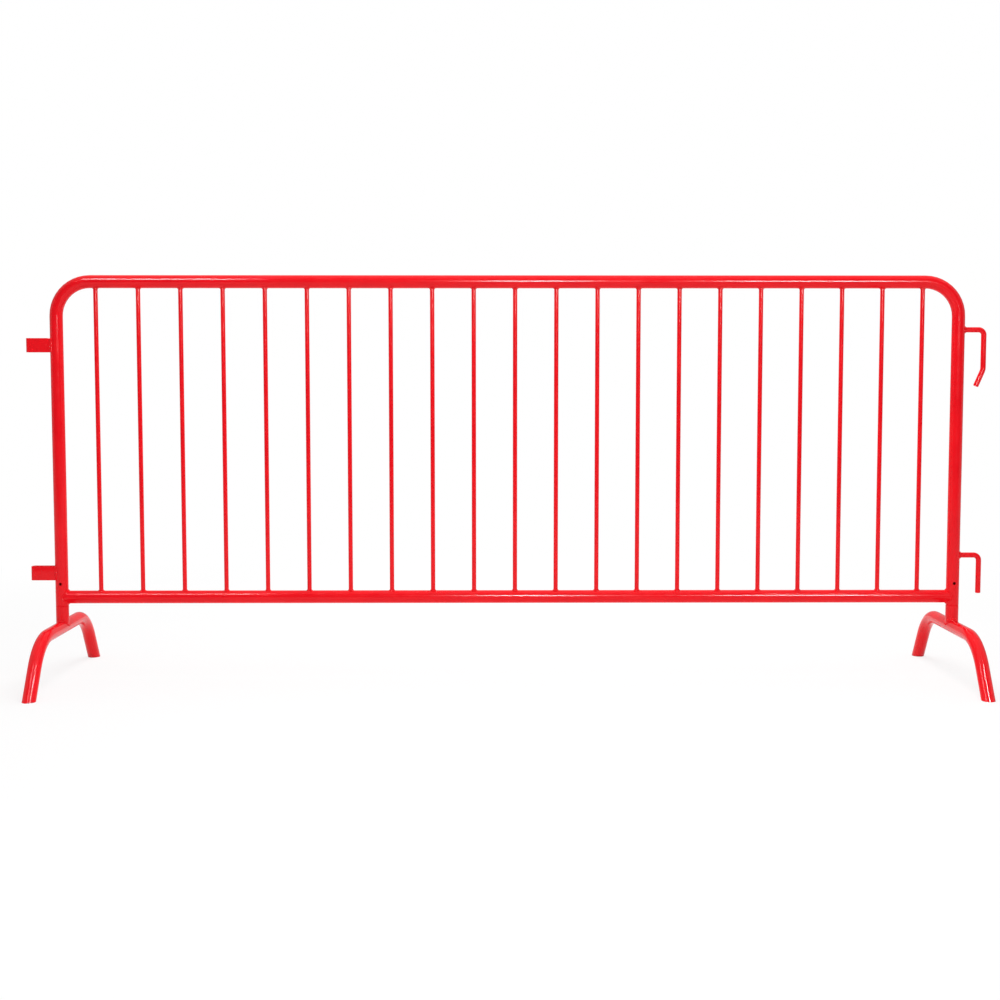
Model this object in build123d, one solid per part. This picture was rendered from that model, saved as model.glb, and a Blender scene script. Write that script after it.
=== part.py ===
from build123d import *
import os
from math import cos, hypot, radians, sin, sqrt

# Interlocking steel crowd barricade with lift-off bridge feet.
# Millimetres, +Z up. The origin lies on the floor, midway between the two posts.
# +X runs along the barricade from the sleeve post to the hook post, and -Y is its front.

# Frame
tube_od = 34.9              # round tube of the frame, the bottom rail and the feet
tube_wall = 1.5
post_span = 2430.0          # between the axes of the two posts
overall_height = 1092.0     # floor to the top of the top rail
corner_radius = 92.0        # of the tube's axis at the two top corners
rail_height = 222.0         # floor to the axis of the bottom rail
post_tail = 24.0            # a post's end below the axis of the bottom rail
end_chamfer = 1.0           # deburred rim where a post meets its foot

# Uprights
bar_od = 12.0
bar_wall = 1.2
bar_count = 21
left_bar_setback = 14.6     # first upright, in from the end of the left corner bend
right_bar_setback = 6.0     # last upright, in from the end of the right corner bend
bar_drift = 14.2            # middle upright, past its even place towards the right post
bar_insertion = 7.0         # how far an upright reaches into a rail
bar_play = 0.15             # radial, in the punched holes of the rails

# Sleeves on the left post
sleeve_height = 38.0        # width of the flat strap that a sleeve is bent from
sleeve_thickness = 3.0
sleeve_play = 5.6           # clear width of the loop beyond the hook rod
sleeve_throat = 60.0        # clear length of the loop, from the post to the nose
sleeve_bend_radius = 8.0    # outside of the nose corners
upper_sleeve_drop = 170.0   # middle of the strap below the axis of the top rail
lower_sleeve_rise = 66.0    # middle of the strap above the axis of the bottom rail

# Hooks on the right post
hook_rod_d = 14.3
hook_throat = 45.0          # clear gap between the post and the hook's leg
hook_bend_radius = 14.0     # of the rod's axis
hook_tip_chamfer = 1.2
upper_hook_drop = 128.0     # arm below the axis of the top rail
upper_hook_leg = 107.0      # arm to the kink
upper_hook_tip = 49.0       # kink to the end
upper_hook_kink = 23.0      # degrees, towards the post
upper_hook_kink_radius = 30.0
lower_hook_rise = 113.0     # arm above the axis of the bottom rail
lower_hook_leg = 104.0      # arm to the end

# Feet
foot_spread = 650.0         # between the leg axes on the floor
arch_span = 450.0           # between the points where the axes of the bridge and the legs cross
arch_height = 140.0         # floor to the axis of the bridge
foot_bend_radius = 152.0    # of the tube's axis
spigot_wall = 2.0
spigot_play = 0.25          # radial, in the post and in the collar
spigot_reach = 100.0        # inside the post
spigot_chamfer = 1.2        # lead-in at the top of the spigot
lock_hole_d = 8.0
lock_hole_rise = 61.0       # above the end of the post

# Welds and fit-up
bar_weld = 2.4              # leg of the bead round an upright
tube_weld = 3.5             # leg of the beads on tubes, hooks and sleeves
fit_gap = 0.05              # between a coped end or a bead and the curved face that it meets

# Places worked out from the sizes above
tube_radius = tube_od / 2
bar_radius = bar_od / 2
rod_radius = hook_rod_d / 2
left_post_x = -post_span / 2
right_post_x = post_span / 2
top_axis_z = overall_height - tube_radius
post_end_z = rail_height - post_tail
first_bar_x = left_post_x + corner_radius + left_bar_setback
last_bar_x = right_post_x - corner_radius - right_bar_setback
bar_shares = [index / (bar_count - 1) for index in range(bar_count)]
# The drift makes the gaps narrow a little from the left post to the right one
bar_places = [
    first_bar_x + share * (last_bar_x - first_bar_x) + 4 * bar_drift * share * (1 - share)
    for share in bar_shares
]
sleeve_width = hook_rod_d + sleeve_play + 2 * sleeve_thickness
upper_sleeve_z = top_axis_z - upper_sleeve_drop
lower_sleeve_z = rail_height + lower_sleeve_rise
hook_offset = tube_radius + hook_throat + rod_radius
upper_hook_z = top_axis_z - upper_hook_drop
lower_hook_z = rail_height + lower_hook_rise
lock_hole_z = post_end_z + lock_hole_rise
spigot_od = tube_od - 2 * tube_wall - 2 * spigot_play

ALONG_X = Rot(0, 90, 0)
ALONG_Y = Rot(90, 0, 0)
UP_FROM_HERE = (Align.CENTER, Align.CENTER, Align.MIN)
DOWN_FROM_HERE = (Align.CENTER, Align.CENTER, Align.MAX)


def ring(outer_d, wall):
    """Section of a round tube."""
    return Circle(outer_d / 2) - Circle(outer_d / 2 - wall)


def along(path, section):
    """A section carried square to a path of straight runs and tangent arcs."""
    return sweep(Plane(path @ 0, z_dir=path % 0) * section, path=path)


def post_body(x, growth=0.0):
    """The space of one straight post, without its bore."""
    stock = Cylinder(tube_radius + growth, top_axis_z, align=UP_FROM_HERE)
    return Pos(x, 0, 0) * stock


def weld_ring(branch_d, run_d, leg):
    """Bead round a branch that stands up along Z on a run along X, both on the origin."""
    reach = 2 * (run_d + branch_d)
    branch_band = Cylinder(branch_d / 2 + leg, reach, align=UP_FROM_HERE)
    run_band = ALONG_X * Cylinder(run_d / 2 + leg, reach)
    branch = Cylinder(branch_d / 2 + fit_gap, reach, align=UP_FROM_HERE)
    run = ALONG_X * Cylinder(run_d / 2 + fit_gap, reach)
    return (branch_band & run_band) - branch - run


def make_frame_tube():
    """Two posts and the top rail, bent from one tube and punched for the uprights."""
    section = ring(tube_od, tube_wall)
    bend_z = top_axis_z - corner_radius
    bend_axis = Axis((left_post_x + corner_radius, 0, bend_z), (0, 1, 0))
    post = extrude(section, bend_z - post_end_z)
    rim = post.edges().group_by(Axis.Z)[0].sort_by(SortBy.LENGTH)[-1]
    post = Pos(left_post_x, 0, post_end_z) * chamfer(rim, end_chamfer)
    bend = revolve(Pos(left_post_x, 0, bend_z) * section, bend_axis, 90)
    rail = extrude(section, post_span - 2 * corner_radius)
    rail = Pos(right_post_x - corner_radius, 0, top_axis_z) * Rot(0, -90, 0) * rail
    left_half = post + bend
    frame = left_half + rail + mirror(left_half, about=Plane.YZ)
    punch = Cylinder(bar_radius + bar_play, tube_od, align=DOWN_FROM_HERE)
    frame -= [Pos(x, 0, top_axis_z) * punch for x in bar_places]
    lock_hole = ALONG_Y * Cylinder(lock_hole_d / 2, 2 * tube_od)
    frame -= [Pos(x, 0, lock_hole_z) * lock_hole for x in (left_post_x, right_post_x)]
    return frame


def make_bottom_rail():
    """Straight tube, coped to the posts at its ends and punched along its top."""
    rail = Pos(left_post_x, 0, rail_height) * ALONG_X * extrude(ring(tube_od, tube_wall), post_span)
    rail -= [post_body(x, fit_gap) for x in (left_post_x, right_post_x)]
    punch = Cylinder(bar_radius + bar_play, tube_od, align=UP_FROM_HERE)
    rail -= [Pos(x, 0, rail_height) * punch for x in bar_places]
    return rail


def make_upright(x):
    """Thin tube that stands in the two rails."""
    foot_z = rail_height + tube_radius - bar_insertion
    head_z = top_axis_z - tube_radius + bar_insertion
    return Pos(x, 0, foot_z) * extrude(ring(bar_od, bar_wall), head_z - foot_z)


def make_sleeve(z):
    """Loop of flat strap on the left post, open above and below for a neighbour's hook."""
    outer_length = tube_radius + sleeve_throat + sleeve_thickness
    inner_length = outer_length - sleeve_thickness
    inner_width = sleeve_width - 2 * sleeve_thickness
    outer = Pos(-outer_length / 2, 0) * Rectangle(outer_length, sleeve_width)
    outer = fillet(outer.vertices().group_by(Axis.X)[0], sleeve_bend_radius)
    inner = Pos(-inner_length / 2, 0) * Rectangle(inner_length, inner_width)
    inner = fillet(inner.vertices().group_by(Axis.X)[0], sleeve_bend_radius - sleeve_thickness)
    loop = extrude(outer - inner, sleeve_height)
    return Pos(left_post_x, 0, z - sleeve_height / 2) * loop - post_body(left_post_x, fit_gap)


def make_sleeve_welds(z):
    """Upright beads in the corners between a sleeve's two legs and the post."""
    corner_y = sleeve_width / 2
    corner_x = left_post_x - sqrt(tube_radius**2 - corner_y**2)
    bead = Cylinder(tube_weld, sleeve_height)
    beads = [Pos(corner_x, side * corner_y, z) * bead for side in (-1, 1)]
    strap = Box(4 * tube_od, sleeve_width + 2 * fit_gap, 2 * sleeve_height)
    strap = Pos(left_post_x, 0, z) * strap
    return [one - strap - post_body(left_post_x, fit_gap) for one in beads]


def make_hook(z, corners, radii):
    """Round rod that leaves the right post at height z and runs through the given (x, z) corners."""
    points = [(right_post_x, 0, z)]
    points += [(right_post_x + x, 0, z + rise) for x, rise in corners]
    path = FilletPolyline(*points, radius=radii)
    rod = along(path, Circle(rod_radius))
    end_face = rod.faces().sort_by_distance(path @ 1)[0]
    rod = chamfer(end_face.edges(), hook_tip_chamfer)
    return rod - post_body(right_post_x, fit_gap)


def make_upper_hook():
    """Long hook whose tip is kinked towards the post, to guide it into a sleeve."""
    kink = radians(upper_hook_kink)
    tip_x = hook_offset - upper_hook_tip * sin(kink)
    tip_rise = -upper_hook_leg - upper_hook_tip * cos(kink)
    corners = [(hook_offset, 0), (hook_offset, -upper_hook_leg), (tip_x, tip_rise)]
    return make_hook(upper_hook_z, corners, [hook_bend_radius, upper_hook_kink_radius])


def make_lower_hook():
    """Short straight hook."""
    corners = [(hook_offset, 0), (hook_offset, -lower_hook_leg)]
    return make_hook(lower_hook_z, corners, [hook_bend_radius])


def make_foot_bridge(x):
    """Tube bent into a low arch across the barricade, its legs cut level with the floor."""
    corner_y = arch_span / 2
    floor_y = foot_spread / 2
    leg_length = hypot(floor_y - corner_y, arch_height)
    spare = 1 + 2 * tube_od / leg_length
    end_y = corner_y + (floor_y - corner_y) * spare
    end_z = arch_height * (1 - spare)
    path = FilletPolyline(
        (x, -end_y, end_z),
        (x, -corner_y, arch_height),
        (x, corner_y, arch_height),
        (x, end_y, end_z),
        radius=foot_bend_radius,
    )
    bridge = along(path, ring(tube_od, tube_wall))
    under_floor = Box(4 * tube_od, 4 * end_y, 8 * tube_od, align=DOWN_FROM_HERE)
    return bridge - Pos(x, 0, 0) * under_floor


def bridge_body(x):
    """The space of a foot's bridge where the collar and the spigot stand on it."""
    return Pos(x, 0, arch_height) * ALONG_Y * Cylinder(tube_radius + fit_gap, 4 * tube_od)


def make_foot_collar(x):
    """Short tube on the bridge. Its rim carries the post."""
    height = post_end_z - arch_height
    collar = Pos(x, 0, arch_height) * extrude(ring(tube_od, tube_wall), height)
    rim = collar.edges().group_by(Axis.Z)[-1].sort_by(SortBy.LENGTH)[-1]
    return chamfer(rim, end_chamfer) - bridge_body(x)


def make_foot_spigot(x):
    """Tube that stands on the bridge inside the collar and slides up into the post."""
    height = post_end_z + spigot_reach - arch_height
    spigot = Pos(x, 0, arch_height) * extrude(ring(spigot_od, spigot_wall), height)
    rim = spigot.edges().group_by(Axis.Z)[-1].sort_by(SortBy.LENGTH)[-1]
    spigot = chamfer(rim, spigot_chamfer) - bridge_body(x)
    return spigot - Pos(x, 0, lock_hole_z) * ALONG_Y * Cylinder(lock_hole_d / 2, 2 * tube_od)


def make_foot_weld(x):
    """Bead round the foot of the collar."""
    across = Rot(0, 0, 90) * weld_ring(tube_od, tube_od, tube_weld)
    return Pos(x, 0, arch_height) * across


def make_rail_end_welds():
    """Beads round the two ends of the bottom rail."""
    bead = weld_ring(tube_od, tube_od, tube_weld)
    left = Pos(left_post_x, 0, rail_height) * Rot(0, 90, 0) * bead
    right = Pos(right_post_x, 0, rail_height) * Rot(0, -90, 0) * bead
    return [left, right]


def make_hook_welds():
    """Beads round the roots of the two hooks."""
    bead = Rot(0, 90, 0) * weld_ring(hook_rod_d, tube_od, tube_weld)
    return [Pos(right_post_x, 0, z) * bead for z in (upper_hook_z, lower_hook_z)]


def save(name, *solids):
    """Write one node, a single solid or a group of like ones."""
    shape = solids[0] if len(solids) == 1 else Compound(children=list(solids))
    export_step(shape, f"parts/{name}.step")


os.makedirs("parts", exist_ok=True)

save("frame_tube", make_frame_tube())
save("bottom_rail", make_bottom_rail())
save("rail_end_welds", *make_rail_end_welds())

for number, bar_x in enumerate(bar_places, start=1):
    save(f"upright_{number:02d}", make_upright(bar_x))

bar_bead = weld_ring(bar_od, tube_od, bar_weld)
save("upright_bottom_welds", *[Pos(x, 0, rail_height) * bar_bead for x in bar_places])
save("upright_top_welds", *[Pos(x, 0, top_axis_z) * Rot(180, 0, 0) * bar_bead for x in bar_places])

save("upper_sleeve", make_sleeve(upper_sleeve_z))
save("lower_sleeve", make_sleeve(lower_sleeve_z))
save("sleeve_welds", *make_sleeve_welds(upper_sleeve_z), *make_sleeve_welds(lower_sleeve_z))

save("upper_hook", make_upper_hook())
save("lower_hook", make_lower_hook())
save("hook_welds", *make_hook_welds())

for side, post_x in (("left", left_post_x), ("right", right_post_x)):
    save(f"{side}_foot_bridge", make_foot_bridge(post_x))
    save(f"{side}_foot_collar", make_foot_collar(post_x))
    save(f"{side}_foot_spigot", make_foot_spigot(post_x))
    save(f"{side}_foot_weld", make_foot_weld(post_x))
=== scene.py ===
"""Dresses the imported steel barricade: powder coat, weld beads, sleeve straps and a plain studio."""

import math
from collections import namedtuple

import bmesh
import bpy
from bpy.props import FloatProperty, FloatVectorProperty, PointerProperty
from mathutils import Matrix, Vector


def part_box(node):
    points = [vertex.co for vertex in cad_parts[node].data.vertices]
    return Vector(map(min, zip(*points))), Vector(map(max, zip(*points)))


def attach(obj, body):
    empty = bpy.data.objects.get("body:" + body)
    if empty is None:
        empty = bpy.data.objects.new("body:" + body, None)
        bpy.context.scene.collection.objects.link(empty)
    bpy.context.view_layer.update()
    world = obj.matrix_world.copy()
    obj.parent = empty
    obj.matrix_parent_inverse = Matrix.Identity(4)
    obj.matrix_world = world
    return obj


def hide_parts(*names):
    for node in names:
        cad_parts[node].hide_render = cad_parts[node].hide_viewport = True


bl_info = {
    "name": "Steel Barricade",
    "version": (1, 0, 0),
    "blender": (4, 5, 0),
    "location": "View3D > Sidebar > Barricade",
    "description": "Powder coat, weld beads, sleeve straps and studio for the packed barricade frame",
    "category": "Object",
}

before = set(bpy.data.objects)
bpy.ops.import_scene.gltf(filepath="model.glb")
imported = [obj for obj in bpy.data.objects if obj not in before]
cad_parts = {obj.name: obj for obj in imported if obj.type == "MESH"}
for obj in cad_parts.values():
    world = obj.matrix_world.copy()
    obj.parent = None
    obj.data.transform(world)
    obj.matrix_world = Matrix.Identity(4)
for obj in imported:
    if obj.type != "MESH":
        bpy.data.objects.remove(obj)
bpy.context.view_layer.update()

# Places read from the frame, in metres
TUBE_RADIUS = (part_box("bottom_rail")[1].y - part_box("bottom_rail")[0].y) / 2
RAIL_Z = (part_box("bottom_rail")[0].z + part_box("bottom_rail")[1].z) / 2
LEFT_POST_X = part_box("frame_tube")[0].x + TUBE_RADIUS
RIGHT_POST_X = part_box("frame_tube")[1].x - TUBE_RADIUS
TOP_RAIL_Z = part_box("frame_tube")[1].z - TUBE_RADIUS
BRIDGE_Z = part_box("left_foot_bridge")[1].z - TUBE_RADIUS
UPRIGHTS = sorted(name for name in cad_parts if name.startswith("upright_") and name[-1].isdigit())
BAR_PLACES = [(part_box(name)[0].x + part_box(name)[1].x) / 2 for name in UPRIGHTS]
BAR_RADIUS = (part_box(UPRIGHTS[0])[1].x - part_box(UPRIGHTS[0])[0].x) / 2
HOOKS = ("upper_hook", "lower_hook")
SLEEVES = ("upper_sleeve", "lower_sleeve")
FEET = {"left_foot": LEFT_POST_X, "right_foot": RIGHT_POST_X}
ROD_RADIUS = (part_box("lower_hook")[1].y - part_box("lower_hook")[0].y) / 2

# How finely the new pieces are cut
BEAD_SIDES = 16
STEPS_PER_RIPPLE = 6
FEWEST_RIPPLES = 8
STRAP_EDGE_STEPS = 4
STRAP_BEND_STEPS = 12
FLOOR_SIDES = 96
MERGE_DISTANCE = 1e-6
SHARP_ANGLE = math.radians(40)

# A grid is made by half its side, so this gives one of 1 m by 1 m to scale
HALF_UNIT = 0.5

# How a bead swells: about the mean of its ripples, with a slow waver that differs from bead to bead
RIPPLE_MEAN = 0.64
WAVER_SHARE = 0.35
RING_WAVER_STEP = 1.7
CORNER_WAVER_RUN = 5
CORNER_WAVER_STEP = 50

# A ring bead's face is flattened, it thins on the steep sides, and its seat stays short of upright
FACE_FLATNESS = 0.16
SIDE_THINNING = 0.5
STEEPEST_SEAT = 0.985

# A straight bead's ends taper over this many legs to this share of its size
END_TAPER = 1.2
END_SIZE = 0.25

# Noise of the finish: lumps one wavelength wide, in metres, that fade in from start to end
Pattern = namedtuple("Pattern", "wavelength detail start end")
TONE_PATCHES = Pattern(wavelength=0.12, detail=3.0, start=0.30, end=0.70)
DULL_PATCHES = Pattern(wavelength=0.03, detail=4.0, start=0.30, end=0.70)
FLOOR_RUBS = Pattern(wavelength=0.006, detail=4.0, start=0.50, end=0.62)
SPIGOT_SCRATCHES = Pattern(wavelength=0.0025, detail=3.0, start=0.52, end=0.66)
SPIGOT_PATCHES = Pattern(wavelength=0.03, detail=2.0, start=0.35, end=0.60)
STRAP_SPECKS = Pattern(wavelength=0.004, detail=5.0, start=0.70, end=0.74)
SPATTER_LUMPS = Pattern(wavelength=0.0016, detail=3.0, start=0.45, end=0.75)
PEEL_DETAIL = 2.0

# Scratches on a spigot are drawn out upwards
SCRATCH_STRETCH = (1.0, 1.0, 0.03)

# Heights above the floor between which the rubs on a leg fade out
RUBS_FULL = 0.0005
RUBS_END = 0.003


class BarricadeSizes(bpy.types.PropertyGroup):
    """Sizes of the weld beads and the sleeve straps."""

    bar_bead: FloatProperty(
        name="Upright bead",
        description="Leg of the weld bead round each end of an upright",
        default=0.0024,
        unit="LENGTH",
    )
    tube_bead: FloatProperty(
        name="Tube bead",
        description="Leg of the weld beads on tubes, hooks and sleeves",
        default=0.0035,
        unit="LENGTH",
    )
    ripple_pitch: FloatProperty(
        name="Ripple pitch",
        description="Length of bead that one ripple of cooled metal takes",
        default=0.0026,
        unit="LENGTH",
    )
    ripple_depth: FloatProperty(
        name="Ripple depth",
        description="Depth of the ripples as a share of the bead's leg",
        default=0.09,
        subtype="FACTOR",
    )
    strap_thickness: FloatProperty(
        name="Strap thickness",
        description="Thickness of the flat strap that a sleeve is bent from",
        default=0.003,
        unit="LENGTH",
    )
    strap_edge: FloatProperty(
        name="Strap edge radius",
        description="Rolled rounding along the strap's long edges",
        default=0.0008,
        unit="LENGTH",
    )
    strap_bend: FloatProperty(
        name="Strap bend radius",
        description="Outside radius of the two corners at a sleeve's nose",
        default=0.008,
        unit="LENGTH",
    )


class BarricadeFinish(bpy.types.PropertyGroup):
    """Colours and surface of the powder coat and of the steel under it."""

    coat_deep: FloatVectorProperty(
        name="Deep red",
        description="Powder coat where it is thickest",
        default=(0.78, 0.003, 0.009),
        subtype="COLOR",
    )
    coat_bright: FloatVectorProperty(
        name="Bright red",
        description="Powder coat where it is thinnest",
        default=(0.84, 0.005, 0.011),
        subtype="COLOR",
    )
    coat_gloss: FloatProperty(
        name="Gloss",
        description="Specular level of the powder coat",
        default=0.20,
        subtype="FACTOR",
    )
    smooth_roughness: FloatProperty(
        name="Smooth roughness",
        description="Roughness where the coat flowed out best",
        default=0.10,
        subtype="FACTOR",
    )
    dull_roughness: FloatProperty(
        name="Dull roughness",
        description="Roughness where the coat is dullest",
        default=0.15,
        subtype="FACTOR",
    )
    peel_size: FloatProperty(
        name="Orange peel",
        description="Width of the small waves in the coat",
        default=0.0022,
        unit="LENGTH",
    )
    peel_height: FloatProperty(
        name="Orange peel height",
        description="Height of the small waves in the coat",
        default=0.000006,
        unit="LENGTH",
    )
    spatter_height: FloatProperty(
        name="Spatter height",
        description="Height of the spatter lumps on the weld beads",
        default=0.00012,
        unit="LENGTH",
    )
    steel: FloatVectorProperty(
        name="Bare steel",
        description="Steel that shows where the coat is rubbed off",
        default=(0.24, 0.22, 0.21),
        subtype="COLOR",
    )
    steel_roughness: FloatProperty(
        name="Steel roughness",
        description="Roughness of the bare steel",
        default=0.5,
        subtype="FACTOR",
    )


class BarricadeStudio(bpy.types.PropertyGroup):
    """Camera and light levels of the studio."""

    camera_place: FloatVectorProperty(
        name="Camera",
        description="Where the camera stands",
        default=(-0.0515, -4.2, 0.8095),
        subtype="XYZ",
        unit="LENGTH",
    )
    camera_tilt: FloatProperty(
        name="Tilt",
        description="How far the camera looks down",
        default=math.radians(4.40),
        subtype="ANGLE",
    )
    camera_turn: FloatProperty(
        name="Turn",
        description="How far the camera is turned towards the hook post",
        default=math.radians(0.40),
        subtype="ANGLE",
    )
    camera_lens: FloatProperty(
        name="Lens",
        description="Focal length on a 36 mm wide sensor",
        default=55.81,
        unit="CAMERA",
    )
    ambient: FloatProperty(
        name="Ambient",
        description="Strength of the even light from all round",
        default=0.58,
    )
    front_wall: FloatProperty(
        name="Front wall",
        description="Brightness in reflections of the wall behind the camera",
        default=0.20,
        subtype="FACTOR",
    )
    back_wall: FloatProperty(
        name="Back wall",
        description="Brightness in reflections of the wall behind the barricade",
        default=0.50,
        subtype="FACTOR",
    )
    floor_white: FloatProperty(
        name="Floor white",
        description="How much of the floor's shown colour is plain white rather than lit paper",
        default=0.78,
        subtype="FACTOR",
    )
    floor_paper: FloatVectorProperty(
        name="Floor paper",
        description="Colour of the floor under the lamps",
        default=(0.85, 0.85, 0.85),
        subtype="COLOR",
    )


# The strips for the feet aim at the front leg, a little above the floor
LEG_AIM_Y = -0.29
LEG_AIM_Z = 0.08
LEFT_LEG = (LEFT_POST_X, LEG_AIM_Y, LEG_AIM_Z)
RIGHT_LEG = (RIGHT_POST_X, LEG_AIM_Y, LEG_AIM_Z)

# The overhead softbox gives the light, and the strips only the lines of shine along the tubes
Softbox = namedtuple("Softbox", "place aim width height watts spread shine_only")
SOFTBOXES = {
    "overhead_softbox": Softbox(
        place=(0.2, 0, 3.0), aim=(0.2, 0, 0),
        width=2.0, height=12.0, watts=190, spread=180, shine_only=False,
    ),
    "front_strip": Softbox(
        place=(0.18, -4.0, 1.75), aim=(0.07, 0, 0.65),
        width=0.50, height=1.0, watts=105, spread=180, shine_only=True,
    ),
    "right_strip": Softbox(
        place=(1.66, -4.0, 1.75), aim=(0.81, 0, 0.65),
        width=0.92, height=1.0, watts=150, spread=180, shine_only=True,
    ),
    "left_strip": Softbox(
        place=(-1.45, -1.5, 2.4), aim=(-1.04, 0, 0.85),
        width=0.85, height=0.60, watts=2.9, spread=36, shine_only=True,
    ),
    "left_leg_strip": Softbox(
        place=(0.45, -1.6, 2.3), aim=LEFT_LEG,
        width=0.40, height=0.40, watts=0.8, spread=22, shine_only=True,
    ),
    "right_leg_strip": Softbox(
        place=(1.35, -1.6, 2.0), aim=RIGHT_LEG,
        width=0.40, height=0.50, watts=0.95, spread=22, shine_only=True,
    ),
    "right_leg_side_strip": Softbox(
        place=(-2.2, -1.57, 2.97), aim=RIGHT_LEG,
        width=0.80, height=0.80, watts=0.60, spread=22, shine_only=True,
    ),
}

# Walls stand before and behind, and the floor fades to plain white between near and far
WALL_DISTANCE = 5.0
WALL_WIDTH = 30.0
WALL_HEIGHT = 10.0
FLOOR_RADIUS = 30.0
NEAR_FLOOR = 1.6
FAR_FLOOR = 3.2
FLOOR_ROUGHNESS = 0.9
FLOOR_GLOSS = 0.1


def sizes():
    """Bead and strap sizes of the scene."""
    return bpy.context.scene.barricade_sizes


def finish():
    """Coat and steel of the scene."""
    return bpy.context.scene.barricade_finish


def studio():
    """Camera and light levels of the scene."""
    return bpy.context.scene.barricade_studio


# Materials


def add_node(tree, kind, inputs=None, **settings):
    """Add a shader node, set its options and link or fill its inputs."""
    node = tree.nodes.new(kind)
    for option, value in settings.items():
        setattr(node, option, value)
    for socket, value in (inputs or {}).items():
        if isinstance(value, bpy.types.NodeSocket):
            tree.links.new(value, node.inputs[socket])
        else:
            node.inputs[socket].default_value = value
    return node


def noise(tree, place, wavelength, detail):
    """A noise pattern whose lumps are about one wavelength wide."""
    inputs = {"Vector": place, "Scale": 1 / wavelength, "Detail": detail}
    return add_node(tree, "ShaderNodeTexNoise", inputs).outputs["Fac"]


def fade(tree, value, start, end, low=0.0, high=1.0):
    """Run smoothly from low to high while a value runs from start to end."""
    inputs = {"Value": value, "From Min": start, "From Max": end, "To Min": low, "To Max": high}
    node = add_node(tree, "ShaderNodeMapRange", inputs, interpolation_type="SMOOTHSTEP")
    return node.outputs["Result"]


def patches(tree, place, pattern, low=0.0, high=1.0):
    """Run from low to high over the lumps of a noise pattern."""
    lumps = noise(tree, place, pattern.wavelength, pattern.detail)
    return fade(tree, lumps, pattern.start, pattern.end, low, high)


def times(tree, first, second):
    """Product of two values."""
    return add_node(tree, "ShaderNodeMath", {0: first, 1: second}, operation="MULTIPLY").outputs[0]


def blend_colour(tree, share, first, second):
    """First colour where share is 0, second where it is 1."""
    node = add_node(tree, "ShaderNodeMix", data_type="RGBA")
    sockets = {"Factor_Float": share, "A_Color": first, "B_Color": second}
    for socket in node.inputs:
        if socket.identifier in sockets:
            value = sockets[socket.identifier]
            if isinstance(value, bpy.types.NodeSocket):
                tree.links.new(value, socket)
            else:
                socket.default_value = (*value, 1.0)
    return next(socket for socket in node.outputs if socket.identifier == "Result_Color")


def floor_scuffs(tree, place):
    """Rubbed patches on the last few millimetres of a leg above the floor."""
    height = add_node(tree, "ShaderNodeSeparateXYZ", {"Vector": place}).outputs["Z"]
    near_floor = fade(tree, height, RUBS_END, RUBS_FULL)
    return times(tree, near_floor, patches(tree, place, FLOOR_RUBS))


def slide_scuffs(tree, place):
    """Upright scratches where a spigot rubs along the bore of its post."""
    stretched = add_node(tree, "ShaderNodeMapping", {"Vector": place, "Scale": SCRATCH_STRETCH})
    scratches = patches(tree, stretched.outputs["Vector"], SPIGOT_SCRATCHES)
    return times(tree, scratches, patches(tree, place, SPIGOT_PATCHES))


def strap_scuffs(tree, place):
    """A few rubbed specks on a sleeve, where hooks knock against it."""
    return patches(tree, place, STRAP_SPECKS)


def powder_coat(name, spatter=False, scuffs=None):
    """Gloss red coat with faint tone changes and orange peel, lumpy on welds and worn by scuffs."""
    look = finish()
    material = bpy.data.materials.new(name)
    material.use_nodes = True
    tree = material.node_tree
    shader = tree.nodes["Principled BSDF"]
    shader.inputs["Specular IOR Level"].default_value = look.coat_gloss
    place = add_node(tree, "ShaderNodeTexCoord").outputs["Object"]

    tone = patches(tree, place, TONE_PATCHES)
    colour = blend_colour(tree, tone, look.coat_deep, look.coat_bright)
    roughness = patches(tree, place, DULL_PATCHES, look.smooth_roughness, look.dull_roughness)
    if scuffs:
        worn = scuffs(tree, place)
        colour = blend_colour(tree, worn, colour, look.steel)
        roughness = fade(tree, worn, 0.0, 1.0, look.dull_roughness, look.steel_roughness)
        tree.links.new(worn, shader.inputs["Metallic"])
    tree.links.new(colour, shader.inputs["Base Color"])
    tree.links.new(roughness, shader.inputs["Roughness"])

    peel = noise(tree, place, look.peel_size, PEEL_DETAIL)
    bump = {"Height": peel, "Distance": look.peel_height, "Strength": 1.0}
    normal = add_node(tree, "ShaderNodeBump", bump).outputs["Normal"]
    if spatter:
        lumps = patches(tree, place, SPATTER_LUMPS)
        bump = {"Height": lumps, "Distance": look.spatter_height, "Strength": 1.0, "Normal": normal}
        normal = add_node(tree, "ShaderNodeBump", bump).outputs["Normal"]
    tree.links.new(normal, shader.inputs["Normal"])
    return material


def give_material(node_names, material):
    """Put one material on CAD nodes in place of their plain one."""
    for name in node_names:
        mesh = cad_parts[name].data
        mesh.materials.clear()
        mesh.materials.append(material)


# Meshes


def finish_piece(bm, name, material, body, stands_for):
    """Make a coated piece of a bmesh, riding on a body in place of a CAD node."""
    bmesh.ops.remove_doubles(bm, verts=bm.verts, dist=MERGE_DISTANCE)
    bmesh.ops.recalc_face_normals(bm, faces=bm.faces)
    for face in bm.faces:
        face.smooth = True
    mesh = bpy.data.meshes.new(name)
    bm.to_mesh(mesh)
    bm.free()
    mesh.set_sharp_from_angle(angle=SHARP_ANGLE)
    mesh.materials.append(material)
    piece = bpy.data.objects.new(name, mesh)
    bpy.context.scene.collection.objects.link(piece)
    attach(piece, body)
    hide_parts(stands_for)
    return piece


def pour(part, whole):
    """Add a finished bmesh to a larger one."""
    carrier = bpy.data.meshes.new("carrier")
    part.to_mesh(carrier)
    part.free()
    whole.from_mesh(carrier)
    bpy.data.meshes.remove(carrier)


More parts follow.
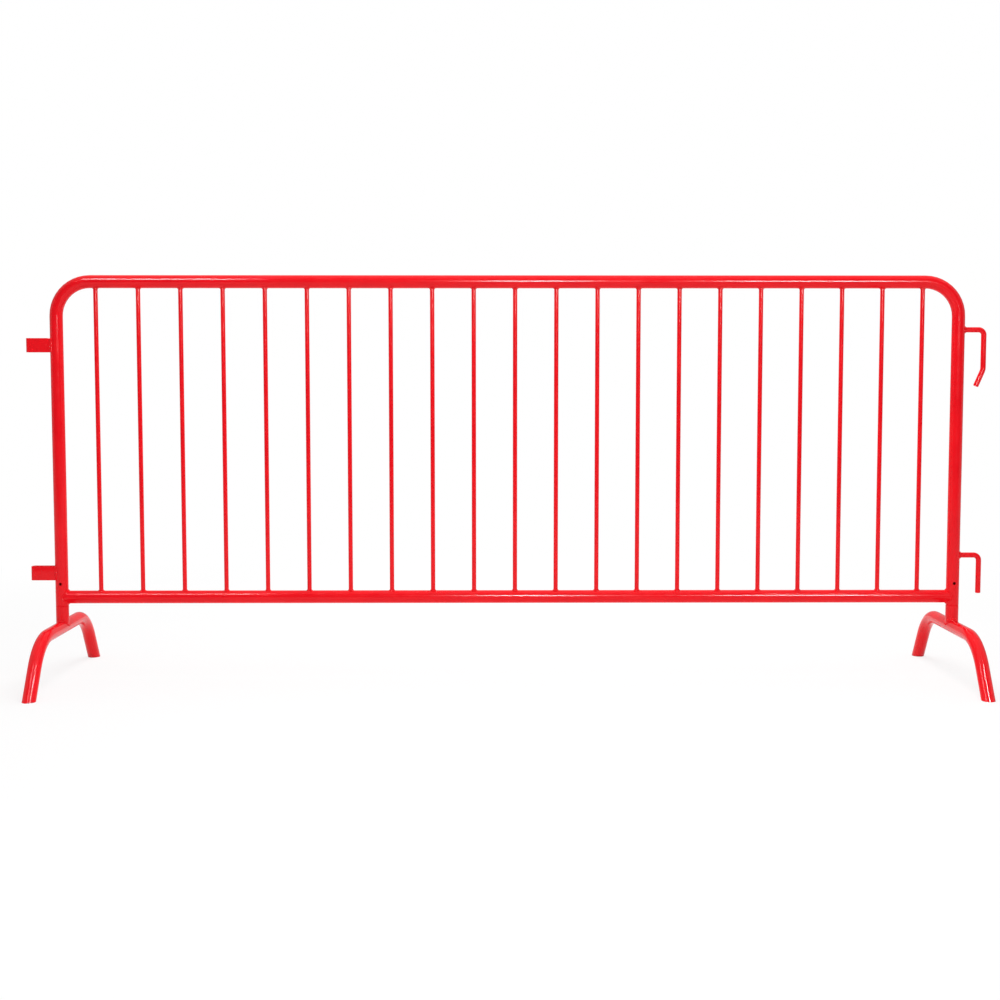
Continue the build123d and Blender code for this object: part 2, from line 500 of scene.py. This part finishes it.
def swell(run, turn):
    """Thickness of a bead against its mean: a rounded step per ripple and a slow waver along the run."""
    ripple = abs(math.sin(math.pi * run)) - RIPPLE_MEAN
    waver = (math.sin(2 * turn + run) + math.sin(3 * turn)) / 2
    return 1 + sizes().ripple_depth * (ripple + WAVER_SHARE * waver)


def ring_bead(branch_radius, run_radius, leg, start):
    """Rippled bead round a branch along Z that stands on a run along X, with their axes on the origin."""
    bead = bmesh.new()
    ripples = max(FEWEST_RIPPLES, round(math.tau * branch_radius / sizes().ripple_pitch))
    stand_up = Matrix.Translation((branch_radius, 0, 0)) @ Matrix.Rotation(math.pi / 2, 4, "X")
    bmesh.ops.create_circle(bead, segments=BEAD_SIDES, radius=leg, matrix=stand_up)
    bmesh.ops.spin(
        bead,
        geom=bead.verts[:] + bead.edges[:],
        cent=(0, 0, 0),
        axis=(0, 0, 1),
        angle=math.tau,
        steps=ripples * STEPS_PER_RIPPLE,
        use_merge=True,
    )
    for vert in bead.verts:
        angle = math.atan2(vert.co.y, vert.co.x)
        outward = math.hypot(vert.co.x, vert.co.y) - branch_radius
        slope = STEEPEST_SEAT * branch_radius * math.sin(angle) / run_radius
        seat = run_radius * math.sqrt(1 - slope**2)
        flatness = FACE_FLATNESS * max(0, math.sin(2 * math.atan2(vert.co.z, outward)))
        thinned = (1 - SIDE_THINNING * slope**2) * (1 - flatness)
        size = thinned * swell(ripples * angle / math.tau, angle + start)
        reach = branch_radius + outward * size
        vert.co = (reach * math.cos(angle), reach * math.sin(angle), seat + vert.co.z * size)
    return bead


def corner_bead(length, leg, start):
    """Straight rippled bead along Z with tapered ends, its middle on the origin."""
    bead = bmesh.new()
    ripples = round(length / sizes().ripple_pitch)
    bmesh.ops.create_cone(
        bead,
        cap_ends=True,
        segments=BEAD_SIDES,
        radius1=leg,
        radius2=leg,
        depth=length,
    )
    long_edges = [edge for edge in bead.edges if edge.calc_length() > length / 2]
    cuts = ripples * STEPS_PER_RIPPLE - 1
    bmesh.ops.subdivide_edges(bead, edges=long_edges, cuts=cuts, use_grid_fill=True)
    for vert in bead.verts:
        share = vert.co.z / length + 0.5
        end = min(share, 1 - share) * length / (END_TAPER * leg)
        taper = math.sqrt(1 - (1 - min(1, end)) ** 2) * (1 - END_SIZE) + END_SIZE
        size = taper * swell(ripples * share, CORNER_WAVER_RUN * share + start)
        vert.co = (vert.co.x * size, vert.co.y * size, vert.co.z)
    return bead


def push_face(bm, face, offset):
    """Extrude a face along an offset and return the new end face."""
    made = bmesh.ops.extrude_face_region(bm, geom=[face, *face.edges, *face.verts])["geom"]
    moved = [item for item in made if isinstance(item, bmesh.types.BMVert)]
    bmesh.ops.translate(bm, vec=offset, verts=moved)
    return next(item for item in made if isinstance(item, bmesh.types.BMFace))


def turn_face(bm, face, centre, angle, steps):
    """Sweep a face round an upright axis and return the new end face."""
    made = bmesh.ops.spin(
        bm,
        geom=[face, *face.edges, *face.verts],
        cent=centre,
        axis=(0, 0, 1),
        angle=angle,
        steps=steps,
    )["geom_last"]
    return next(item for item in made if isinstance(item, bmesh.types.BMFace))


def sleeve_strap(low, high):
    """Loop of flat strap with rolled edges, bent round its nose and coped to the left post."""
    size = sizes()
    half_width = (high.y - low.y) / 2
    middle_y = half_width - size.strap_thickness / 2
    bend_x = low.x + size.strap_bend
    bend_y = half_width - size.strap_bend
    quarter_turn = math.pi / 2
    # The legs end inside the post until they are coped to it
    leg_length = LEFT_POST_X - TUBE_RADIUS / 2 - bend_x
    # Stands a section that is drawn in XY upright in YZ
    upright_section = Matrix(((0, 0, 1, 0), (1, 0, 0, 0), (0, 1, 0, 0), (0, 0, 0, 1)))
    start = Vector((bend_x + leg_length, middle_y, (low.z + high.z) / 2))

    strap = bmesh.new()
    bmesh.ops.create_grid(strap, x_segments=1, y_segments=1, size=HALF_UNIT)
    bmesh.ops.scale(strap, vec=(size.strap_thickness, high.z - low.z, 1), verts=strap.verts)
    bmesh.ops.bevel(
        strap,
        geom=strap.verts[:],
        offset=size.strap_edge,
        offset_type="OFFSET",
        segments=STRAP_EDGE_STEPS,
        profile=0.5,
        affect="VERTICES",
        material=-1,
    )
    bmesh.ops.transform(strap, matrix=Matrix.Translation(start) @ upright_section, verts=strap.verts)

    first_end = strap.faces[:][0]
    end = push_face(strap, first_end, (-leg_length, 0, 0))
    end = turn_face(strap, end, (bend_x, bend_y, start.z), quarter_turn, STRAP_BEND_STEPS)
    end = push_face(strap, end, (0, -2 * bend_y, 0))
    end = turn_face(strap, end, (bend_x, -bend_y, start.z), quarter_turn, STRAP_BEND_STEPS)
    end = push_face(strap, end, (leg_length, 0, 0))
    for vert in {*first_end.verts, *end.verts}:
        vert.co.x = LEFT_POST_X - math.sqrt(TUBE_RADIUS**2 - vert.co.y**2)
    return strap


# Operators


class BARRICADE_OT_coat_frame(bpy.types.Operator):
    """Give the frame tube, the bottom rail, the uprights and the hooks their powder coat"""

    bl_idname = "barricade.coat_frame"
    bl_label = "Coat Frame"

    def execute(self, context):
        coat = powder_coat("red_powder_coat")
        give_material(["frame_tube", "bottom_rail", *UPRIGHTS, *HOOKS], coat)
        return {"FINISHED"}


class BARRICADE_OT_coat_feet(bpy.types.Operator):
    """Coat the two feet, with scuffs at the floor and on the spigots"""

    bl_idname = "barricade.coat_feet"
    bl_label = "Coat Feet"

    def execute(self, context):
        at_floor = powder_coat("red_coat_at_floor", scuffs=floor_scuffs)
        on_spigot = powder_coat("red_coat_on_spigot", scuffs=slide_scuffs)
        for foot in FEET:
            give_material([f"{foot}_bridge", f"{foot}_collar"], at_floor)
            give_material([f"{foot}_spigot"], on_spigot)
        return {"FINISHED"}


class BARRICADE_OT_sleeves(bpy.types.Operator):
    """Bend the two sleeves from flat strap on the left post"""

    bl_idname = "barricade.sleeves"
    bl_label = "Sleeves"

    def execute(self, context):
        coat = powder_coat("red_coat_on_strap", scuffs=strap_scuffs)
        for node in SLEEVES:
            finish_piece(sleeve_strap(*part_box(node)), f"{node}_strap", coat, "barrier", node)
        return {"FINISHED"}


class BARRICADE_OT_weld_beads(bpy.types.Operator):
    """Lay the weld beads of the frame: uprights, rail ends, hooks and sleeves"""

    bl_idname = "barricade.weld_beads"
    bl_label = "Frame Welds"

    def execute(self, context):
        coat = powder_coat("red_coat_on_weld", spatter=True)
        flip = Matrix.Rotation(math.pi, 4, "X")
        to_right = Matrix.Rotation(math.pi / 2, 4, "Y")
        to_left = Matrix.Rotation(-math.pi / 2, 4, "Y")
        bar, tube = sizes().bar_bead, sizes().tube_bead

        bottoms = [Matrix.Translation((x, 0, RAIL_Z)) for x in BAR_PLACES]
        self.lay_rings("upright_bottom", coat, bottoms, BAR_RADIUS, bar)
        tops = [Matrix.Translation((x, 0, TOP_RAIL_Z)) @ flip for x in BAR_PLACES]
        self.lay_rings("upright_top", coat, tops, BAR_RADIUS, bar)
        rail_ends = [
            Matrix.Translation((LEFT_POST_X, 0, RAIL_Z)) @ to_right,
            Matrix.Translation((RIGHT_POST_X, 0, RAIL_Z)) @ to_left,
        ]
        self.lay_rings("rail_end", coat, rail_ends, TUBE_RADIUS, tube)
        arm_heights = [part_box(node)[1].z - ROD_RADIUS for node in HOOKS]
        roots = [Matrix.Translation((RIGHT_POST_X, 0, z)) @ to_right for z in arm_heights]
        self.lay_rings("hook", coat, roots, ROD_RADIUS, tube)
        self.lay_sleeve_corners(coat, tube)
        return {"FINISHED"}

    def lay_rings(self, joint, coat, places, branch_radius, leg):
        """One piece of all the like beads, each with its own waver."""
        beads = bmesh.new()
        for number, place in enumerate(places):
            bead = ring_bead(branch_radius, TUBE_RADIUS, leg, start=RING_WAVER_STEP * number)
            bmesh.ops.transform(bead, matrix=place, verts=bead.verts)
            pour(bead, beads)
        finish_piece(beads, f"{joint}_beads", coat, "barrier", f"{joint}_welds")

    def lay_sleeve_corners(self, coat, leg):
        """Upright beads in the corners between the sleeves' legs and the post."""
        beads = bmesh.new()
        for number, node in enumerate(SLEEVES):
            low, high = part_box(node)
            corner_x = LEFT_POST_X - math.sqrt(TUBE_RADIUS**2 - high.y**2)
            for side_y in (low.y, high.y):
                start = number + CORNER_WAVER_STEP * side_y
                bead = corner_bead(high.z - low.z, leg, start)
                bmesh.ops.translate(bead, vec=(corner_x, side_y, (low.z + high.z) / 2), verts=bead.verts)
                pour(bead, beads)
        finish_piece(beads, "sleeve_beads", coat, "barrier", "sleeve_welds")


class BARRICADE_OT_foot_welds(bpy.types.Operator):
    """Lay the weld bead round each foot's collar"""

    bl_idname = "barricade.foot_welds"
    bl_label = "Foot Welds"

    def execute(self, context):
        coat = powder_coat("red_coat_on_foot_weld", spatter=True)
        across = Matrix.Rotation(math.pi / 2, 4, "Z")
        for foot, post_x in FEET.items():
            bead = ring_bead(TUBE_RADIUS, TUBE_RADIUS, sizes().tube_bead, start=post_x)
            place = Matrix.Translation((post_x, 0, BRIDGE_Z)) @ across
            bmesh.ops.transform(bead, matrix=place, verts=bead.verts)
            finish_piece(bead, f"{foot}_bead", coat, foot, f"{foot}_weld")
        return {"FINISHED"}


class BARRICADE_OT_stage(bpy.types.Operator):
    """Set up the white floor, the soft light and the camera"""

    bl_idname = "barricade.stage"
    bl_label = "Studio"

    def execute(self, context):
        context.scene.view_settings.view_transform = "Standard"
        self.add_floor(context)
        self.add_wall(context, "front_wall", -WALL_DISTANCE, studio().front_wall)
        self.add_wall(context, "back_wall", WALL_DISTANCE, studio().back_wall)
        self.light_world(context)
        for name, softbox in SOFTBOXES.items():
            self.add_softbox(context, name, softbox)
        self.add_camera(context)
        return {"FINISHED"}

    def shown_white(self, tree, share):
        """Share of plain white that the camera, reflections and glass see."""
        path = add_node(tree, "ShaderNodeLightPath").outputs
        seen = path["Is Camera Ray"]
        for ray in ("Is Glossy Ray", "Is Transmission Ray"):
            inputs = {0: seen, 1: path[ray]}
            seen = add_node(tree, "ShaderNodeMath", inputs, operation="MAXIMUM").outputs[0]
        return times(tree, seen, share)

    def add_floor(self, context):
        """Round paper floor that keeps a faint shadow near the barricade."""
        bm = bmesh.new()
        bmesh.ops.create_circle(bm, cap_ends=True, segments=FLOOR_SIDES, radius=FLOOR_RADIUS)
        mesh = bpy.data.meshes.new("floor")
        bm.to_mesh(mesh)
        bm.free()
        material = bpy.data.materials.new("floor_paper")
        material.use_nodes = True
        tree = material.node_tree
        paper = tree.nodes["Principled BSDF"]
        paper.inputs["Base Color"].default_value = (*studio().floor_paper, 1)
        paper.inputs["Roughness"].default_value = FLOOR_ROUGHNESS
        paper.inputs["Specular IOR Level"].default_value = FLOOR_GLOSS
        white = add_node(tree, "ShaderNodeEmission", {"Strength": 1.0})
        place = add_node(tree, "ShaderNodeTexCoord").outputs["Object"]
        away = add_node(tree, "ShaderNodeVectorMath", {0: place}, operation="LENGTH").outputs["Value"]
        whiteness = fade(tree, away, NEAR_FLOOR, FAR_FLOOR, studio().floor_white, 1.0)
        share = self.shown_white(tree, whiteness)
        inputs = {0: share, 1: paper.outputs["BSDF"], 2: white.outputs["Emission"]}
        mixed = add_node(tree, "ShaderNodeMixShader", inputs)
        tree.links.new(mixed.outputs["Shader"], tree.nodes["Material Output"].inputs["Surface"])
        mesh.materials.append(material)
        floor = bpy.data.objects.new("floor", mesh)
        context.scene.collection.objects.link(floor)

    def add_wall(self, context, name, y, shade):
        """Plain glowing wall along the barricade, which only reflections see."""
        middle = Matrix.Translation((0, y, WALL_HEIGHT / 2))
        upright = Matrix.Rotation(math.pi / 2, 4, "X") @ Matrix.Diagonal((WALL_WIDTH, WALL_HEIGHT, 1, 1))
        bm = bmesh.new()
        bmesh.ops.create_grid(bm, x_segments=1, y_segments=1, size=HALF_UNIT, matrix=middle @ upright)
        mesh = bpy.data.meshes.new(name)
        bm.to_mesh(mesh)
        bm.free()
        material = bpy.data.materials.new(f"{name}_paint")
        material.use_nodes = True
        tree = material.node_tree
        glow = add_node(tree, "ShaderNodeEmission", {"Strength": shade})
        tree.links.new(glow.outputs["Emission"], tree.nodes["Material Output"].inputs["Surface"])
        mesh.materials.append(material)
        wall = bpy.data.objects.new(name, mesh)
        wall.visible_camera = False
        wall.visible_diffuse = False
        wall.visible_shadow = False
        context.scene.collection.objects.link(wall)

    def light_world(self, context):
        """Even light from all round, behind a background that shows as white."""
        world = bpy.data.worlds.new("studio")
        world.use_nodes = True
        context.scene.world = world
        tree = world.node_tree
        even = tree.nodes["Background"]
        even.inputs["Color"].default_value = (1, 1, 1, 1)
        even.inputs["Strength"].default_value = studio().ambient
        white = add_node(tree, "ShaderNodeBackground", {"Color": (1, 1, 1, 1), "Strength": 1.0})
        inputs = {0: self.shown_white(tree, 1.0), 1: even.outputs[0], 2: white.outputs[0]}
        mixed = add_node(tree, "ShaderNodeMixShader", inputs)
        tree.links.new(mixed.outputs["Shader"], tree.nodes["World Output"].inputs["Surface"])

    def add_softbox(self, context, name, softbox):
        """Area lamp that gives either the light or only a line of shine."""
        lamp = bpy.data.lights.new(name, "AREA")
        lamp.shape = "RECTANGLE"
        lamp.size = softbox.width
        lamp.size_y = softbox.height
        lamp.energy = softbox.watts
        lamp.spread = math.radians(softbox.spread)
        holder = bpy.data.objects.new(name, lamp)
        holder.location = softbox.place
        holder.visible_diffuse = not softbox.shine_only
        holder.visible_glossy = softbox.shine_only
        aim = Vector(softbox.aim) - Vector(softbox.place)
        holder.rotation_euler = aim.to_track_quat("-Z", "Y").to_euler()
        context.scene.collection.objects.link(holder)

    def add_camera(self, context):
        """Camera at the angle of the photograph."""
        lens = bpy.data.cameras.new("camera")
        lens.lens = studio().camera_lens
        camera = bpy.data.objects.new("camera", lens)
        camera.location = studio().camera_place
        camera.rotation_euler = (math.pi / 2 - studio().camera_tilt, 0, -studio().camera_turn)
        context.scene.collection.objects.link(camera)
        context.scene.camera = camera


class BARRICADE_PT_sidebar(bpy.types.Panel):
    """Lists the steps that dress the barricade, and their values"""

    bl_idname = "BARRICADE_PT_sidebar"
    bl_label = "Steel Barricade"
    bl_space_type = "VIEW_3D"
    bl_region_type = "UI"
    bl_category = "Barricade"

    def draw(self, context):
        for group in GROUPS:
            column = self.layout.column(align=True)
            values = getattr(context.scene, group)
            for name in values.__annotations__:
                column.prop(values, name)
        for operator in OPERATORS:
            self.layout.operator(operator.bl_idname)


GROUPS = {
    "barricade_sizes": BarricadeSizes,
    "barricade_finish": BarricadeFinish,
    "barricade_studio": BarricadeStudio,
}
OPERATORS = (
    BARRICADE_OT_coat_frame,
    BARRICADE_OT_coat_feet,
    BARRICADE_OT_sleeves,
    BARRICADE_OT_weld_beads,
    BARRICADE_OT_foot_welds,
    BARRICADE_OT_stage,
)
CLASSES = (*GROUPS.values(), *OPERATORS, BARRICADE_PT_sidebar)


def register():
    for kind in CLASSES:
        bpy.utils.register_class(kind)
    for name, group in GROUPS.items():
        setattr(bpy.types.Scene, name, PointerProperty(type=group))


def unregister():
    for name in GROUPS:
        delattr(bpy.types.Scene, name)
    for kind in reversed(CLASSES):
        bpy.utils.unregister_class(kind)


def main():
    register()
    bpy.ops.barricade.coat_frame()
    bpy.ops.barricade.coat_feet()
    bpy.ops.barricade.sleeves()
    bpy.ops.barricade.weld_beads()
    bpy.ops.barricade.foot_welds()
    bpy.ops.barricade.stage()


if __name__ == "__main__":
    main()
